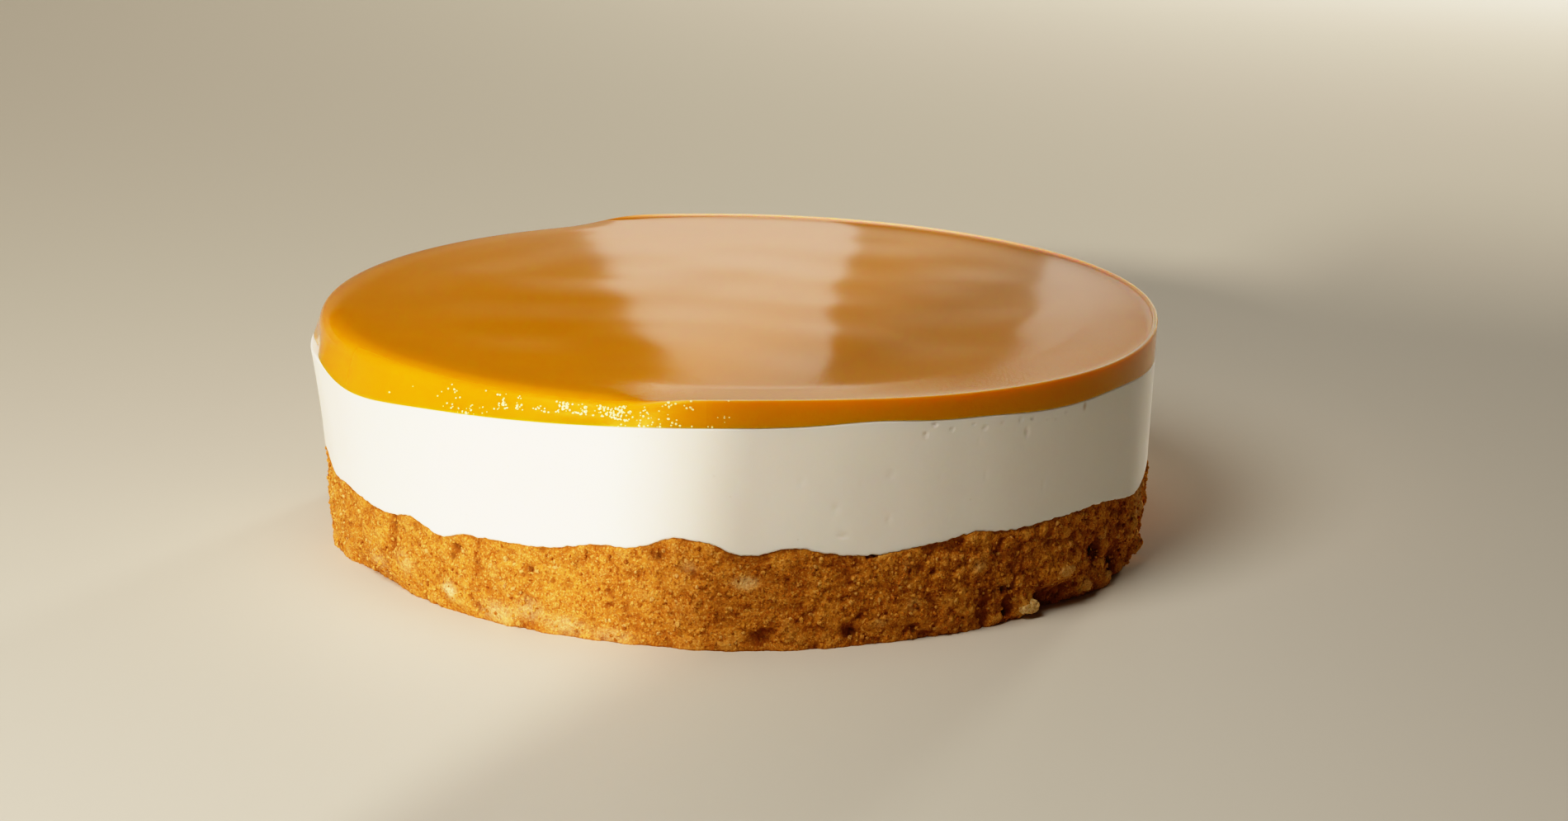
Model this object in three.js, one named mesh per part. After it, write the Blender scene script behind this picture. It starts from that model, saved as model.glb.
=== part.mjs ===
// Cookie butter cheesecake: a pressed crumb base, a set cream layer and a glossy orange topping.
// Millimetres, +Z up. The cake rests on z = 0, with its middle on the z axis and its shown side
// towards -Y. An azimuth is in degrees round the cake: 0 at the front, 90 at the right (+X).

import * as THREE from 'three';
import { mergeVertices } from 'three/addons/utils/BufferGeometryUtils.js';

// Heights
const TOP = 50.1; // the flat of the topping
const CRUMB_LEVEL = 18.6; // top of the crumb, inside the cake
const CREAM_LEVEL = 43.4; // top of the cream, inside the cake
const SEAM = 0.3; // left open between one layer and the next

// Radii
const WALL_FOOT = 89.7; // the wall, carried down to z = 0
const WALL_FLARE = 1.5; // how much wider the wall is at the top
const CORE = 70; // inside this the layers are level

// The left side leans: it is drawn in at the foot, and the lip of the cream stands out.
const LEAN = { at: -90, foot: -1.3, lip: 2.8, lipHeight: 41, power: 2.4 };

// The lines that show at the side. Each has a level, and swells (or dips) along the azimuth.
const CRUMB_EDGE = {
  level: 19.9,
  swells: [
    { at: -88, rise: -2.0, spread: 4 },
    { at: -80, rise: 0.8, spread: 4 },
    { at: -56, rise: -2.9, spread: 11 },
    { at: -48, rise: 1.3, spread: 1.7 },
    { at: -41.5, rise: -1.8, spread: 1.7 },
    { at: -27, rise: -2.1, spread: 18 },
    { at: -17, rise: 2.0, spread: 3.8 },
    { at: -7.3, rise: 4.1, spread: 2.8 },
    { at: -2.6, rise: 1.7, spread: 1.5 },
    { at: 7.5, rise: 1.6, spread: 2.1 },
    { at: 18, rise: -1.2, spread: 3.6 },
    { at: 32.5, rise: 1.2, spread: 2.4 },
    { at: 71.5, rise: -3.7, spread: 6.8 },
  ],
};
const CREAM_EDGE = {
  level: 41.6,
  swells: [
    { at: 7, rise: 4.6, spread: 34 },
    { at: -75, rise: 2.0, spread: 6.5 },
    { at: -60.5, rise: -1.9, spread: 9.7 },
    { at: 18, rise: 0.9, spread: 5.2 },
    { at: 33, rise: 0.5, spread: 5 },
    { at: 61, rise: 0.9, spread: 7.3 },
  ],
};
// The foot's outline: its level is a radius, and the wall is drawn to it below FOOT_CURL.
const FOOT_EDGE = {
  level: 88.4,
  swells: [
    { at: 2, rise: 1.8, spread: 9 },
    { at: 35, rise: 1.0, spread: 3 },
    { at: 48, rise: -2.3, spread: 4 },
    { at: -46, rise: -1.4, spread: 5 },
    { at: -60, rise: -1.6, spread: 5 },
    { at: -82, rise: -0.8, spread: 7 },
  ],
};
const FOOT_CURL = 8;

// The unseen back has edges of the same kind, drawn at random.
const BACK = { from: 82, to: 282, step: 11, crumbRise: 2.2, creamRise: 0.7, footRise: 1.1 };

// Crags of the crumb: rounded lumps packed over the side
const LUMPS = { count: 620, smallest: 2.0, largest: 4.6, rise: 0.85, sunk: 0.45 };

// Where the crumb has broken away (out < 0), or a chunk clings to it (out > 0).
// "across" and "tall" are half widths in millimetres.
const BREAKS = [
  { at: -58, height: 0, across: 9, tall: 2.2, out: -1.6 },
  { at: -53, height: 13.5, across: 0.9, tall: 2.6, out: -1.0 },
  { at: -39, height: 14.5, across: 0.9, tall: 2.2, out: -1.0 },
  { at: 4, height: 2.6, across: 1.6, tall: 1.3, out: -1.4 },
  { at: 15, height: 2.8, across: 1.4, tall: 1.4, out: -1.2 },
  { at: 23, height: 3.0, across: 1.6, tall: 1.2, out: -1.3 },
  { at: 35.2, height: 4.0, across: 1.3, tall: 2.8, out: -2.2 },
  { at: 36.9, height: 3.4, across: 1.3, tall: 2.4, out: 1.0 },
  { at: 39.0, height: 3.8, across: 1.6, tall: 2.2, out: -2.4 },
  { at: 42.2, height: 2.6, across: 2.1, tall: 1.8, out: 2.3 },
  { at: 45.6, height: 2.2, across: 1.6, tall: 2.2, out: -3.0 },
  { at: 49, height: 8.4, across: 3.4, tall: 1.7, out: 1.5 },
  { at: 50, height: 3.6, across: 3.6, tall: 1.6, out: -2.0 },
  { at: 54.5, height: 3.2, across: 2.4, tall: 1.6, out: 1.8 },
  { at: 57, height: 9.6, across: 2.0, tall: 2.0, out: -1.7 },
  { at: 61, height: 1.6, across: 2.0, tall: 1.6, out: 1.8 },
  { at: 63.5, height: 5.0, across: 2.2, tall: 2.2, out: -2.2 },
  { at: 70, height: 9.2, across: 2.2, tall: 1.8, out: 1.4 },
  { at: 73, height: 4.4, across: 3.0, tall: 1.7, out: 1.8 },
  { at: 79, height: 6.6, across: 4.0, tall: 1.5, out: -1.9 },
];

// The topping's rim is a thin fin where it crept up its mould, and is worn round on the left.
// A row of either is [in from the wall, above the flat, share of the rim's swells].
const FIN = [[0, -0.8, 0.8], [0, 0.35, 1], [0.5, 0.5, 1], [1.3, 0.1, 0.85], [5.5, 0, 0.4]];
const WORN = [[2.1, -3.6, 0], [2.5, -2.2, 0], [3.3, -1.1, 0], [4.9, -0.4, 0], [7.5, 0, 0]];
const WEAR = { at: -85, half: 66, fade: 14 }; // degrees
const LEDGE = { at: -81, inset: 1.7, spread: 4 }; // of cream that shows outside the topping
const RIM_EDGE = {
  level: 0,
  swells: [
    { at: 5, rise: 1.3, spread: 16 },
    { at: 66, rise: -1.0, spread: 16 },
  ],
};

const FINE_COLUMNS = 240; // round the crumb and the cream
const TOPPING_COLUMNS = 120;
const CRUMB_BANDS = 15;
const CREAM_BANDS = 3;
const STRAY = 0.5; // degrees, so that the crumb's points don't line up
const MERGE = 1e-4;

// A repeatable stream of numbers from 0 to 1
function stream(seed) {
  let state = seed;
  return () => {
    state = (state * 1664525 + 1013904223) % 4294967296;
    return state / 4294967296;
  };
}

const between = (random, low, high) => low + (high - low) * random();
const mix = THREE.MathUtils.lerp;
const bell = (x) => Math.exp(-0.5 * x * x);
// Degrees from one azimuth to another, the short way round
const turn = (from, to) => THREE.MathUtils.euclideanModulo(to - from + 180, 360) - 180;

function withBack(edge, rise, seed) {
  const random = stream(seed);
  const swells = [...edge.swells];
  for (let at = BACK.from; at < BACK.to; at += BACK.step) {
    swells.push({
      at: at + between(random, 0, BACK.step),
      rise: between(random, -rise, rise),
      spread: between(random, 0.25, 0.6) * BACK.step,
    });
  }
  return { level: edge.level, swells };
}

const crumbEdge = withBack(CRUMB_EDGE, BACK.crumbRise, 11);
const creamEdge = withBack(CREAM_EDGE, BACK.creamRise, 23);
const footEdge = withBack(FOOT_EDGE, BACK.footRise, 37);

function edgeAt(edge, azimuth) {
  const swell = ({ at, rise, spread }) => rise * bell(turn(at, azimuth) / spread);
  return edge.swells.reduce((sum, each) => sum + swell(each), edge.level);
}

// The smooth wall that all three layers share
function wallAt(azimuth, height) {
  const side = Math.max(0, Math.cos(THREE.MathUtils.degToRad(turn(LEAN.at, azimuth))));
  const lean = LEAN.foot + LEAN.lip * Math.min(1, height / LEAN.lipHeight) ** LEAN.power;
  return WALL_FOOT + (WALL_FLARE * height) / TOP + side * lean;
}

// The face where one layer lies on the next: level in the core, and out to the line at the wall
function faceAt(edge, level, azimuth, radius) {
  const height = edgeAt(edge, azimuth);
  const out = (radius - CORE) / (wallAt(azimuth, height) - CORE);
  return mix(level, height, Math.max(0, out));
}

function packedLumps() {
  const random = stream(5);
  return Array.from({ length: LUMPS.count }, () => ({
    at: between(random, 0, 360),
    height: between(random, -1, 24),
    reach: between(random, LUMPS.smallest, LUMPS.largest),
    rise: LUMPS.rise * between(random, 0.35, 1),
  }));
}

const lumps = packedLumps();
const ARC = (Math.PI / 180) * WALL_FOOT; // millimetres of wall in a degree

// How far the crumb stands out of the smooth wall
function crumbRelief(azimuth, height) {
  let relief = 0;
  for (const lump of lumps) {
    const off = Math.hypot(turn(lump.at, azimuth) * ARC, height - lump.height) / lump.reach;
    if (off < 1) relief = Math.max(relief, lump.rise * (1 - off * off));
  }
  const breaks = BREAKS.reduce((sum, { at, height: middle, across, tall, out }) => {
    const off = Math.hypot((turn(at, azimuth) * ARC) / across, (height - middle) / tall);
    return sum + out * bell(off);
  }, 0);
  return relief - LUMPS.sunk + breaks;
}

function crumbRadius(azimuth, height) {
  const curl = Math.max(0, 1 - height / FOOT_CURL) ** 2;
  const drawn = (edgeAt(footEdge, azimuth) - wallAt(azimuth, 0)) * curl;
  return wallAt(azimuth, height) + drawn + crumbRelief(azimuth, height);
}

// A closed round solid. Each row places its points by azimuth, as [radius, height]: the rows run
// from the axis below, out, up the side and back to the axis above. A row's points may stray
// from their even spacing by up to "stray" degrees each way, or be turned by "skew" columns.
function roundSolid(name, columns, rows, material) {
  const profile = rows.map((_, index) => new THREE.Vector2(index, index));
  const lathe = new THREE.LatheGeometry(profile, columns);
  const random = stream(rows.length);
  const strays = rows.map(({ stray = 0 }) =>
    Array.from({ length: columns }, () => between(random, -stray, stray)));

  const place = lathe.attributes.position;
  for (let index = 0; index < place.count; index += 1) {
    const row = index % rows.length;
    const column = Math.floor(index / rows.length) % columns;
    const azimuth = (360 * (column + (rows[row].skew ?? 0))) / columns + strays[row][column];
    const [radius, height] = rows[row].at(azimuth);
    const angle = THREE.MathUtils.degToRad(azimuth - 90);
    place.setXYZ(index, radius * Math.cos(angle), radius * Math.sin(angle), height);
  }
  lathe.deleteAttribute('normal');
  lathe.deleteAttribute('uv');
  const surface = mergeVertices(lathe, MERGE);
  surface.computeVertexNormals();
  const mesh = new THREE.Mesh(surface, material);
  mesh.name = name;
  return mesh;
}

const onAxis = (height) => ({ at: () => [0, height] });
// The edge of the core, turned half a column, so that both sides of a seam are split alike
const coreAbove = (height) => ({ skew: 0.5, at: () => [CORE, height] });
const coreBelow = (height) => ({ skew: -0.5, at: () => [CORE, height] });
const upTo = (bands) => Array.from({ length: bands + 1 }, (_, band) => band / bands);

function crumbBase() {
  const side = upTo(CRUMB_BANDS).map((share) => ({
    stray: share > 0 && share < 1 ? STRAY : 0,
    at: (azimuth) => {
      const height = share * edgeAt(crumbEdge, azimuth);
      return [crumbRadius(azimuth, height), height];
    },
  }));
  const rows = [onAxis(0), ...side, coreAbove(CRUMB_LEVEL), onAxis(CRUMB_LEVEL)];
  const crumb = new THREE.MeshStandardMaterial({ color: 0xc07a2c, roughness: 0.9, metalness: 0 });
  return roundSolid('crumb_base', FINE_COLUMNS, rows, crumb);
}

function creamLayer() {
  const side = upTo(CREAM_BANDS).map((share) => ({
    at: (azimuth) => {
      const foot = edgeAt(crumbEdge, azimuth) + SEAM;
      const height = mix(foot, edgeAt(creamEdge, azimuth), share);
      return [wallAt(azimuth, height), height];
    },
  }));
  const under = CRUMB_LEVEL + SEAM;
  const below = [onAxis(under), coreBelow(under)];
  const above = [coreAbove(CREAM_LEVEL), onAxis(CREAM_LEVEL)];
  const cream = new THREE.MeshStandardMaterial({ color: 0xf3ead9, roughness: 0.5, metalness: 0 });
  return roundSolid('cream_layer', FINE_COLUMNS, [...below, ...side, ...above], cream);
}

// 1 where the topping's rim is the fin, 0 where it is worn round
function finShare(azimuth) {
  const past = Math.abs(turn(WEAR.at, azimuth)) - WEAR.half;
  return THREE.MathUtils.smoothstep(past, 0, WEAR.fade);
}

function toppingLayer() {
  const rim = FIN.map((fin, row) => ({
    at: (azimuth) => {
      const share = finShare(azimuth);
      const [inset, above, lift] = fin.map((value, part) => mix(WORN[row][part], value, share));
      return [wallAt(azimuth, TOP) - inset, TOP + above + lift * edgeAt(RIM_EDGE, azimuth)];
    },
  }));
  const foot = {
    at: (azimuth) => {
      const inset = LEDGE.inset * bell(turn(LEDGE.at, azimuth) / LEDGE.spread);
      const radius = wallAt(azimuth, edgeAt(creamEdge, azimuth)) - inset;
      return [radius, faceAt(creamEdge, CREAM_LEVEL, azimuth, radius) + SEAM];
    },
  };
  const under = CREAM_LEVEL + SEAM;
  const rows = [onAxis(under), coreBelow(under), foot, ...rim, onAxis(TOP)];
  const jelly = new THREE.MeshStandardMaterial({ color: 0xe08a08, roughness: 0.12, metalness: 0 });
  return roundSolid('topping_layer', TOPPING_COLUMNS, rows, jelly);
}

const cake = new THREE.Group();
cake.add(crumbBase(), creamLayer(), toppingLayer());

export default cake;
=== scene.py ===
"""Cookie butter cheesecake: a pressed crumb base, a set cream layer and a glossy orange topping.

Everything is in metres, +Z up, round the z axis. An azimuth is in degrees round the cake: 0 at the
front (-Y), 90 at the right (+X). A layer is a grid of points rolled round the axis, and is held
as an array [row, column, (radius, height)].
"""

import math
from functools import lru_cache

import bmesh
import bpy
import numpy as np
from bpy.props import FloatProperty, FloatVectorProperty, IntProperty, PointerProperty
from mathutils import Matrix, Vector, noise
from mathutils.bvhtree import BVHTree


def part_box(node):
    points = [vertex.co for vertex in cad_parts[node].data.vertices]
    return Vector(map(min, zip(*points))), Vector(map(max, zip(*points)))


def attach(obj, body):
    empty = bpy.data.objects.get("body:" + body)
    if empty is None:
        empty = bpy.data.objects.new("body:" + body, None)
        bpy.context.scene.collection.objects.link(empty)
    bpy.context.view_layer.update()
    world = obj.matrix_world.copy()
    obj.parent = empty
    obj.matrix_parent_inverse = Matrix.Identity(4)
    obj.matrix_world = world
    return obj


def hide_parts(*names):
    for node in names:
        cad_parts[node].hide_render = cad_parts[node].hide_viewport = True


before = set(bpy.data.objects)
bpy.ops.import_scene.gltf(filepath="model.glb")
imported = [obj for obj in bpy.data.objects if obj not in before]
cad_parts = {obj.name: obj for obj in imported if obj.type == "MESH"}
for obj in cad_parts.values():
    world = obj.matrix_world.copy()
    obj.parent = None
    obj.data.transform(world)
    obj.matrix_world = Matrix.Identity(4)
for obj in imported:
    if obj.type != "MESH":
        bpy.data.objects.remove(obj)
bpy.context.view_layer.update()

bl_info = {
    "name": "Cookie butter cheesecake",
    "version": (1, 0, 0),
    "blender": (4, 5, 0),
    "location": "3D view > Sidebar > Cheesecake",
    "description": "Makes the crumb, cream and topping of a round cheesecake over its packed solids",
    "category": "Object",
}

MM = 0.001
CORE = 70 * MM  # inside this radius the layers are level
SIDE = 75 * MM  # points outside this radius belong to a layer's side

CRUMB_COLUMNS = 1520
CRUMB_ROWS = 54
CREAM_COLUMNS = 1440
CREAM_ROWS = 58
TOPPING_COLUMNS = 720
CORNER_CUTS = 3
TOP_RINGS = 26


def table(names, *rows):
    """A list of marks, from the names of their values and a row of values for each."""
    return [dict(zip(names.split(), row)) for row in rows]


# Marks that show on the crumb. "across" and "tall" are half widths in millimetres; "pale" is how
# light a mark is, a crack's fifth value how much painted shade lies down in it, and "deep" how
# far it lies back.
PALE_MARKS = table(
    "at height across tall pale",
    (1.6, 14.3, 1.9, 1.0, 0.7),
    (-5.5, 17.2, 1.4, 1.0, 0.25),
    (22.8, 16.4, 1.3, 1.0, 0.12),
    (33.3, 14.2, 1.4, 1.0, 0.4),
    (19.3, 4.6, 1.2, 1.1, 0.22),
    (23.9, 7.9, 1.2, 1.2, 0.25),
    (-40.7, 4.6, 1.7, 1.4, 0.9),
    (-49.6, 7.4, 2.6, 1.8, 0.28),
    (-57.0, 4.0, 3.0, 2.0, 0.3),
    (-32.3, 2.6, 3.6, 1.8, 0.4),
    (-27.1, 4.4, 2.6, 1.8, 0.35),
    (-22.0, 2.4, 3.4, 1.6, 0.4),
    (-15.6, 1.4, 3.4, 1.2, 0.35),
    # A large pale patch at the crumb's right edge
    (75.0, 12.0, 5.5, 4.5, 0.55),
)
# Cracks and holes in the crumb. Their fifth value is painted shade, laid into the crumb's colour down
# in them; most also lie back.
CRACKS = table(
    "at height across tall dark deep",
    (-51.6, 14.7, 0.6, 1.4, 0.45, -0.15),
    (-46.8, 16.4, 0.8, 0.9, 0.45, -0.25),
    (-38.8, 14.6, 0.8, 1.0, 0.55, -0.15),
    (-39.7, 12.3, 0.6, 0.8, 0.45, -0.25),
    (-35.1, 15.9, 0.4, 0.9, 0.5, -0.3),
    (-35.3, 12.4, 0.6, 0.8, 0.5, -0.3),
    (-27.0, 12.9, 0.7, 1.0, 0.7, -0.3),
    (-20.5, 16.0, 0.6, 1.1, 0.5, -0.25),
    (-9.5, 19.4, 1.1, 0.9, 0.6, -0.3),
    (4.4, 3.0, 0.6, 0.5, 0.5, 0.0),
    (7.8, 2.0, 0.55, 0.6, 0.8, -0.3),
    (15.3, 3.0, 1.1, 0.8, 1.0, -0.5),
    (24.1, 2.6, 0.7, 0.9, 1.0, -0.6),
    (38.0, 7.8, 1.7, 0.9, 1.0, -1.2),
    (38.9, 2.6, 0.6, 1.6, 1.0, -0.8),
    (45.6, 2.2, 0.9, 1.4, 1.0, -1.0),
    (58.0, 9.0, 1.9, 1.8, 0.95, -1.2),
    (63.6, 3.6, 1.8, 1.8, 0.95, -1.1),
)
# Small marks in the cream
DIMPLES = table(
    "at height across tall deep brown",
    (-24.9, 34.1, 0.7, 0.5, -0.16),
    (-12.4, 35.7, 0.5, 0.6, -0.16),
    (-3.0, 34.4, 0.5, 0.5, -0.14),
    (0.3, 34.9, 0.4, 0.4, -0.16),
    (8.4, 35.2, 0.6, 0.5, -0.16),
    (12.8, 29.3, 0.6, 0.7, -0.16),
    (19.9, 35.7, 0.7, 0.5, -0.2),
    (19.8, 26.3, 0.5, 0.5, -0.2),
    (13.8, 23.6, 0.8, 0.4, -0.2),
    (33.6, 33.2, 0.4, 0.5, -0.16),
    (43.8, 28.5, 0.5, 0.7, -0.2),
    (24.4, 43.2, 0.4, 0.5, -0.22),
    (40.1, 40.6, 0.5, 0.7, -0.35),
    (51.5, 42.7, 0.4, 0.7, -0.1, 0.8),
)
# Chunks that cling to the broken stretch of the foot
CHUNKS = table(
    "at height across tall out pale",
    (36.9, 3.2, 1.1, 2.4, 0.9, 0.1),
    (42.2, 2.6, 2.8, 1.5, 1.7, 0.95),
    (49.0, 8.6, 2.6, 1.2, 1.0, 0.35),
    (54.5, 3.0, 2.3, 1.4, 1.2, 0.35),
    (59.5, 12.4, 1.5, 1.9, 0.8, 0.3),
    (61.5, 1.8, 1.9, 1.5, 1.3, 0.35),
    (70.0, 9.4, 2.0, 1.5, 1.1, 0.2),
    (74.0, 4.2, 2.6, 1.5, 1.2, 0.3),
)
# Small bubbles that set under the topping, in a row
BUBBLE_ROW = {"from": 26.0, "to": 48.0, "count": 10}
# Where the topping's side is dull and beaded, and where it stands up in a thin fin, in degrees
DULL = {"from": -64, "to": -1, "fade": 13}
BEADS = {"at": -21.5, "spread": 7.5}
FIN = {"from": -7, "to": 195, "fade": 12}
# Here the fin's lighter paint, partly a painted highlight, reaches further in.
WIDE_FIN_HIGHLIGHT = {"from": 80, "to": 200, "fade": 14}  # here it is pale further in
# Where the top is rough like orange peel near its rim, in degrees
PEEL = {"from": -18, "to": 75, "fade": 18}
# Where the crumb is broken and more craggy, in degrees
CRAGGY = {"from": 26, "to": 88, "fade": 10}


# ---------------------------------------------------------------- the solids' sizes

def polar(points):
    """Radius, azimuth and height of points."""
    azimuth = np.degrees(np.arctan2(points[..., 0], -points[..., 1])) % 360
    return np.hypot(points[..., 0], points[..., 1]), azimuth, points[..., 2]


def node_points(node):
    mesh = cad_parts[node].data
    points = np.empty(len(mesh.vertices) * 3, np.float32)
    mesh.vertices.foreach_get("co", points)
    return points.reshape(-1, 3).astype(float)


def outlines(node):
    """The side of a layer's solid, from its lower to its upper edge, at each of its azimuths."""
    radius, azimuth, height = polar(np.unique(np.round(node_points(node), 6), axis=0))
    tenths = np.round(azimuth * 10).astype(int) % 3600
    found = np.unique(tenths[radius > SIDE])
    lines = []
    for tenth in found:
        here = (tenths == tenth) & (radius > SIDE)
        points = np.stack([radius[here], height[here]], axis=1)
        # The points are put in order by their turn round a point inside the layer.
        pivot = np.array([points[:, 0].max() - 7 * MM, points[:, 1].min() - 4 * MM])
        turn = np.arctan2(points[:, 1] - pivot[1], points[:, 0] - pivot[0])
        lines.append(points[np.argsort(turn)])
    return found / 10, np.array(lines)


def soften(grid, degrees):
    """Smooths values along the columns, the last axis, with a bell that is this wide."""
    columns = grid.shape[-1]
    waves = np.fft.rfftfreq(columns, 1 / columns)
    keep = np.exp(-0.5 * (math.radians(degrees) * waves) ** 2)
    return np.fft.irfft(np.fft.rfft(grid, axis=-1) * keep, columns, axis=-1)


def even_azimuths(columns):
    return np.arange(columns) * 360 / columns


def side_of(node, columns, degrees):
    """The outline of a layer's side at even azimuths, as [point, column, (radius, height)]."""
    azimuths, lines = outlines(node)
    wanted = even_azimuths(columns)
    points = np.array([
        [np.interp(wanted, azimuths, lines[:, point, part], period=360) for part in (0, 1)]
        for point in range(lines.shape[1])
    ])
    return np.moveaxis(soften(points, degrees), 1, -1)


def stretch(azimuths, part):
    """1 within a part of the way round, and 0 outside it. The ends fade."""
    middle = (part["from"] + part["to"]) / 2
    half = (part["to"] - part["from"]) / 2
    turn = (azimuths - middle + 180) % 360 - 180
    return np.clip((half - abs(turn)) / part["fade"] + 0.5, 0, 1)


def ripple(azimuths, size, depth, seed):
    """A random wave along the side, with bends of about this size."""
    radius = 90 * MM
    angles = np.radians(azimuths)
    return np.array([
        depth * noise.fractal(Vector((math.sin(a), math.cos(a), seed)) * (radius / size), 0.8, 2.1, 3)
        for a in angles
    ])


def seam_lines(columns):
    """Heights of the lines that show between crumb and cream, and between cream and topping."""
    azimuths = even_azimuths(columns)
    sizes = bpy.context.scene.cake_sizes
    side = side_of("cream_layer", columns, sizes.line_smoothing)
    crumb = side[0, :, 1] + ripple(azimuths, 1.7 * MM, sizes.crumb_line_wave, 3.0)
    return crumb, side[-1, :, 1]


# ---------------------------------------------------------------- meshes

def rolled(name, rings, **layers):
    """A closed round mesh from its rings of points. The first and the last ring are poles.

    Each layer holds a value for every point of the rings, which a material reads by its name.
    """
    rows, columns, _ = rings.shape
    bm = bmesh.new()
    bmesh.ops.create_grid(bm, x_segments=columns, y_segments=rows - 1, size=0.5)
    mesh = bpy.data.meshes.new(name)
    bm.to_mesh(mesh)
    flat = np.empty(len(mesh.vertices) * 3, np.float32)
    mesh.vertices.foreach_get("co", flat)
    flat = flat.reshape(-1, 3) + 0.5
    column = np.round(flat[:, 0] * columns).astype(int) % columns
    row = np.round(flat[:, 1] * (rows - 1)).astype(int)
    angle = column * 2 * math.pi / columns
    radius, height = rings[row, column].T
    place = np.stack([radius * np.sin(angle), -radius * np.cos(angle), height], axis=1)
    mesh.vertices.foreach_set("co", place.astype(np.float32).ravel())
    for layer, values in layers.items():
        paint(mesh, layer, values[row, column])
    bm.clear()
    bm.from_mesh(mesh)
    bmesh.ops.remove_doubles(bm, verts=bm.verts, dist=1e-7)
    return finished(bm, mesh)


def finished(bm, mesh, smooth=True):
    """Puts a bmesh into its mesh, with its faces turned out."""
    bmesh.ops.recalc_face_normals(bm, faces=bm.faces)
    for face in bm.faces:
        face.smooth = smooth
    bm.to_mesh(mesh)
    bm.free()
    return mesh


def ring(radius, height, columns):
    """One ring of points. The radius and the height may each be one value, or one for each column."""
    return np.stack([np.broadcast_to(radius, columns), np.broadcast_to(height, columns)], axis=1)


def paint(mesh, name, values):
    """Keeps a value for each point, which a material reads by its name."""
    made = mesh.attributes.new(name, "FLOAT", "POINT")
    made.data.foreach_set("value", np.broadcast_to(values, len(mesh.vertices)).astype(np.float32))


def add_piece(name, mesh, material, slot, *nodes):
    piece = bpy.data.objects.new(name, mesh)
    bpy.context.scene.collection.objects.link(piece)
    piece.data.materials.append(material)
    if nodes:
        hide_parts(*nodes)
    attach(piece, "root")
    return piece


def studded(relief, heights, count, reach, rise, random):
    """Raises rounded grains at random places of a layer's side, or sinks pits where rise is below 0."""
    columns = relief.shape[1]
    spacing = 2 * math.pi * 90 * MM / columns
    for _ in range(count):
        size = random.uniform(*reach)
        half = int(size / spacing) + 1
        across = np.arange(-half, half + 1)
        middle = random.integers(columns)
        taken = (middle + across) % columns
        level = random.uniform(0, heights[-1, middle])
        off = ((across * spacing) ** 2 + (heights[:, taken] - level) ** 2) / size**2
        dome = rise * random.uniform(0.45, 1) * np.sqrt(np.clip(1 - off, 0, None))
        if rise > 0:
            relief[:, taken] = np.maximum(relief[:, taken], dome)
        else:
            relief[:, taken] += dome


def spots(heights, marks, key):
    """The sum of soft spots on a side, each as strong as its mark says."""
    azimuths = even_azimuths(heights.shape[1])
    arc = math.radians(90)  # millimetres of side in a degree
    total = np.zeros_like(heights)
    for mark in marks:
        turn = (azimuths - mark["at"] + 180) % 360 - 180
        off = (turn * arc / mark["across"]) ** 2
        off = off + ((heights / MM - mark["height"]) / mark["tall"]) ** 2
        total += mark.get(key, 0) * np.exp(-0.5 * off**1.5)
    return total


# ---------------------------------------------------------------- shader maths

class Wire:
    """An output of a node. Arithmetic on it adds the Math nodes."""

    def __init__(self, graph, socket):
        self.graph = graph
        self.socket = socket

    def maths(self, operation, first, second):
        return self.graph.node("ShaderNodeMath", {"operation": operation}, {0: first, 1: second})

    def __add__(self, other):
        return self.maths("ADD", self, other)

    def __radd__(self, other):
        return self.maths("ADD", other, self)

    def __sub__(self, other):
        return self.maths("SUBTRACT", self, other)

    def __rsub__(self, other):
        return self.maths("SUBTRACT", other, self)

    def __mul__(self, other):
        return self.maths("MULTIPLY", self, other)

    def __rmul__(self, other):
        return self.maths("MULTIPLY", other, self)


class Graph:
    """The nodes of one material, or of the world."""

    def __init__(self, owner):
        owner.use_nodes = True
        self.tree = owner.node_tree
        self.tree.nodes.clear()

    def node(self, kind, settings=None, sockets=None, output=0):
        made = self.tree.nodes.new(kind)
        for name, value in (settings or {}).items():
            if name == "stops":
                self.set_stops(made.color_ramp, value)
            else:
                setattr(made, name, value)
        for name, value in (sockets or {}).items():
            self.plug(made.inputs[name], value)
        return Wire(self, made.outputs[output]) if made.outputs else None

    def set_stops(self, ramp, stops):
        while len(ramp.elements) < len(stops):
            ramp.elements.new(1.0)
        for element, (position, grey) in zip(ramp.elements, stops):
            element.position = position
            element.color = (grey, grey, grey, 1)

    def plug(self, socket, value):
        if isinstance(value, Wire):
            self.tree.links.new(value.socket, socket)
        elif socket.type == "RGBA":
            socket.default_value = (*value, 1)
        else:
            socket.default_value = value

    def place(self):
        return self.node("ShaderNodeTexCoord", output="Object")

    def attribute(self, name):
        return self.node("ShaderNodeAttribute", {"attribute_name": name}, output="Fac")

    def noise(self, place, size, detail, roughness):
        sockets = {"Vector": place, "Scale": 1 / size, "Detail": detail, "Roughness": roughness}
        return self.node("ShaderNodeTexNoise", None, sockets)

    def cells(self, place, size):
        """Distance to the nearest of random points, as a share of their spacing."""
        sockets = {"Vector": place, "Scale": 1 / size}
        return self.node("ShaderNodeTexVoronoi", None, sockets, "Distance")

    def ramp(self, value, *stops):
        """A value led through stops, each a (position, grey) pair."""
        return self.node("ShaderNodeValToRGB", {"stops": stops}, {0: value})

    def blend(self, factor, first, second):
        """The first colour where the factor is 0, the second where it is 1."""
        settings = {"data_type": "RGBA"}
        return self.node("ShaderNodeMix", settings, {0: factor, 6: first, 7: second}, 2)

    def bump(self, height, depth):
        sockets = {"Height": height, "Distance": depth, "Strength": 1.0}
        return self.node("ShaderNodeBump", None, sockets)

    def surface(self, sockets):
        shader = self.node("ShaderNodeBsdfPrincipled", None, sockets)
        self.node("ShaderNodeOutputMaterial", None, {"Surface": shader})


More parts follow.
